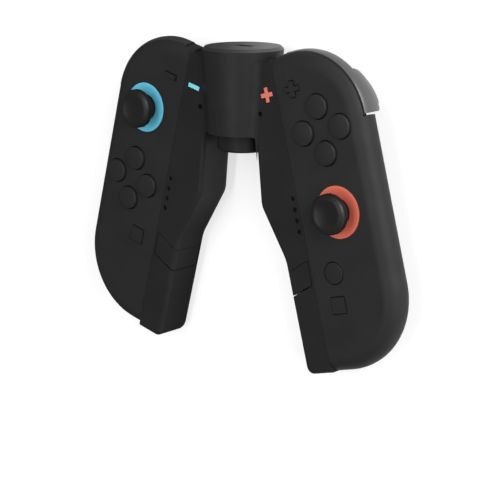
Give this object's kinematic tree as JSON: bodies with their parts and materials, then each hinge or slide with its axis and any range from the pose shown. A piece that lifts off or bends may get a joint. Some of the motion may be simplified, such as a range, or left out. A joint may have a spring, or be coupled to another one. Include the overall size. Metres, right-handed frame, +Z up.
{
  "type": "controller charging grip",
  "caption": "Matt black A-shaped charging grip with a round hub, handles with squeeze paddles and a docked controller on each side with a stick, buttons, shoulder button and trigger.",
  "frame": {"origin": "middle of the footprint on the floor that the grip lies on", "axes": "+Z up, out of the front face; +Y towards the hub's top with the charging port; +X to the player's right"},
  "size_m": [0.1526, 0.1186, 0.0304],
  "materials": {
    "grip_shell": "matt moulded, fine grain",
    "controller_shell": "matt moulded, fine grain",
    "hub_top": "satin",
    "neck": "matt",
    "button": "satin",
    "lever": "satin",
    "dock": "matt",
    "stick_rubber": "matt rubber",
    "blue_trim": "satin",
    "orange_trim": "satin",
    "light": "frosted clear",
    "metal": "bare",
    "board": "coated circuit board",
    "battery": "film wrapped cell",
    "mechanism": "moulded"
  },
  "bodies": {
    "grip": {"grip_front_case": "grip_shell", "grip_back_case": "grip_shell", "hub_cap": "hub_top", "neck_plug": "neck", "charging_port": "metal", "charge_board": "board", "case_screws": "metal", "left_mark": "blue_trim", "left_light_pipe": "light", "left_dock_connector": "dock", "left_dock_magnets": "metal", "left_paddle_switch": "mechanism", "right_mark": "orange_trim", "right_light_pipe": "light", "right_dock_connector": "dock", "right_dock_magnets": "metal", "right_paddle_switch": "mechanism"},
    "left_paddle": {"left_paddle": "grip_shell"},
    "left_controller": {"left_front_case": "controller_shell", "left_back_case": "controller_shell", "left_dock_plate": "dock", "left_stick_ring": "blue_trim", "left_stick_base": "mechanism", "left_board": "board", "left_battery": "battery"},
    "left_stick_yoke": {"left_stick_yoke": "mechanism"},
    "left_stick": {"left_stick": "stick_rubber"},
    "left_top_button": {"left_top_button": "button"},
    "left_outer_button": {"left_outer_button": "button"},
    "left_bottom_button": {"left_bottom_button": "button"},
    "left_inner_button": {"left_inner_button": "button"},
    "left_menu_button": {"left_menu_button": "button"},
    "left_square_button": {"left_square_button": "button"},
    "left_shoulder": {"left_shoulder": "lever"},
    "left_trigger": {"left_trigger": "lever"},
    "right_paddle": {"right_paddle": "grip_shell"},
    "right_controller": {"right_front_case": "controller_shell", "right_back_case": "controller_shell", "right_dock_plate": "dock", "right_stick_ring": "orange_trim", "right_stick_base": "mechanism", "right_board": "board", "right_battery": "battery"},
    "right_stick_yoke": {"right_stick_yoke": "mechanism"},
    "right_stick": {"right_stick": "stick_rubber"},
    "right_top_button": {"right_top_button": "button"},
    "right_outer_button": {"right_outer_button": "button"},
    "right_bottom_button": {"right_bottom_button": "button"},
    "right_inner_button": {"right_inner_button": "button"},
    "right_menu_button": {"right_menu_button": "button"},
    "right_square_button": {"right_square_button": "button"},
    "right_round_button": {"right_round_button": "button"},
    "right_shoulder": {"right_shoulder": "lever"},
    "right_trigger": {"right_trigger": "lever"}
  },
  "joints": [
    {"name": "left_paddle_squeeze", "type": "hinge", "parent": "grip", "child": "left_paddle", "pos_m": [-0.03723, -0.02152, 0.01831], "axis": [0.2538, 0.9663, 0.0442], "range_deg": [0, 3], "stiffness_Nm_per_rad": 0.6},
    {"name": "left_controller_pull", "type": "slide", "parent": "grip", "child": "left_controller", "axis": [-0.9673, 0.2535, 0.0116], "range_m": [0, 0.03]},
    {"name": "left_stick_forward", "type": "hinge", "parent": "left_controller", "child": "left_stick_yoke", "pos_m": [-0.04314, 0.03179, 0.01574], "axis": [-0.9673, 0.2535, 0.0116], "range_deg": [-15, 15], "stiffness_Nm_per_rad": 0.02},
    {"name": "left_stick_sideways", "type": "hinge", "parent": "left_stick_yoke", "child": "left_stick", "pos_m": [-0.04314, 0.03179, 0.01574], "axis": [0.2538, 0.9663, 0.0442], "range_deg": [-15, 15], "stiffness_Nm_per_rad": 0.02},
    {"name": "left_top_button_press", "type": "slide", "parent": "left_controller", "child": "left_top_button", "axis": [0, 0.0457, -0.999], "range_m": [0, 0.001], "stiffness_N_per_m": 400},
    {"name": "left_outer_button_press", "type": "slide", "parent": "left_controller", "child": "left_outer_button", "axis": [0, 0.0457, -0.999], "range_m": [0, 0.001], "stiffness_N_per_m": 400},
    {"name": "left_bottom_button_press", "type": "slide", "parent": "left_controller", "child": "left_bottom_button", "axis": [0, 0.0457, -0.999], "range_m": [0, 0.001], "stiffness_N_per_m": 400},
    {"name": "left_inner_button_press", "type": "slide", "parent": "left_controller", "child": "left_inner_button", "axis": [0, 0.0457, -0.999], "range_m": [0, 0.001], "stiffness_N_per_m": 400},
    {"name": "left_menu_button_press", "type": "slide", "parent": "left_controller", "child": "left_menu_button", "axis": [0, 0.0457, -0.999], "range_m": [0, 0.0007], "stiffness_N_per_m": 400},
    {"name": "left_square_button_press", "type": "slide", "parent": "left_controller", "child": "left_square_button", "axis": [0, 0.0457, -0.999], "range_m": [0, 0.0007], "stiffness_N_per_m": 400},
    {"name": "left_shoulder_press", "type": "slide", "parent": "left_controller", "child": "left_shoulder", "axis": [0.4501, -0.892, -0.0408], "range_m": [0, 0.0008], "stiffness_N_per_m": 400},
    {"name": "left_trigger_press", "type": "slide", "parent": "left_controller", "child": "left_trigger", "axis": [0.8241, -0.5658, -0.0259], "range_m": [0, 0.0015], "stiffness_N_per_m": 400},
    {"name": "right_paddle_squeeze", "type": "hinge", "parent": "grip", "child": "right_paddle", "pos_m": [0.03723, -0.02152, 0.01831], "axis": [0.2538, -0.9663, -0.0442], "range_deg": [0, 3], "stiffness_Nm_per_rad": 0.6},
    {"name": "right_controller_pull", "type": "slide", "parent": "grip", "child": "right_controller", "axis": [0.9673, 0.2535, 0.0116], "range_m": [0, 0.03]},
    {"name": "right_stick_forward", "type": "hinge", "parent": "right_controller", "child": "right_stick_yoke", "pos_m": [0.05065, 0.00319, 0.01443], "axis": [0.9673, 0.2535, 0.0116], "range_deg": [-15, 15], "stiffness_Nm_per_rad": 0.02},
    {"name": "right_stick_sideways", "type": "hinge", "parent": "right_stick_yoke", "child": "right_stick", "pos_m": [0.05065, 0.00319, 0.01443], "axis": [-0.2538, 0.9663, 0.0442], "range_deg": [-15, 15], "stiffness_Nm_per_rad": 0.02},
    {"name": "right_top_button_press", "type": "slide", "parent": "right_controller", "child": "right_top_button", "axis": [0, 0.0457, -0.999], "range_m": [0, 0.001], "stiffness_N_per_m": 400},
    {"name": "right_outer_button_press", "type": "slide", "parent": "right_controller", "child": "right_outer_button", "axis": [0, 0.0457, -0.999], "range_m": [0, 0.001], "stiffness_N_per_m": 400},
    {"name": "right_bottom_button_press", "type": "slide", "parent": "right_controller", "child": "right_bottom_button", "axis": [0, 0.0457, -0.999], "range_m": [0, 0.001], "stiffness_N_per_m": 400},
    {"name": "right_inner_button_press", "type": "slide", "parent": "right_controller", "child": "right_inner_button", "axis": [0, 0.0457, -0.999], "range_m": [0, 0.001], "stiffness_N_per_m": 400},
    {"name": "right_menu_button_press", "type": "slide", "parent": "right_controller", "child": "right_menu_button", "axis": [0, 0.0457, -0.999], "range_m": [0, 0.0007], "stiffness_N_per_m": 400},
    {"name": "right_square_button_press", "type": "slide", "parent": "right_controller", "child": "right_square_button", "axis": [0, 0.0457, -0.999], "range_m": [0, 0.0007], "stiffness_N_per_m": 400},
    {"name": "right_round_button_press", "type": "slide", "parent": "right_controller", "child": "right_round_button", "axis": [0, 0.0457, -0.999], "range_m": [0, 0.0007], "stiffness_N_per_m": 400},
    {"name": "right_shoulder_press", "type": "slide", "parent": "right_controller", "child": "right_shoulder", "axis": [-0.4501, -0.892, -0.0408], "range_m": [0, 0.0008], "stiffness_N_per_m": 400},
    {"name": "right_trigger_press", "type": "slide", "parent": "right_controller", "child": "right_trigger", "axis": [-0.8241, -0.5658, -0.0259], "range_m": [0, 0.0015], "stiffness_N_per_m": 400}
  ]
}
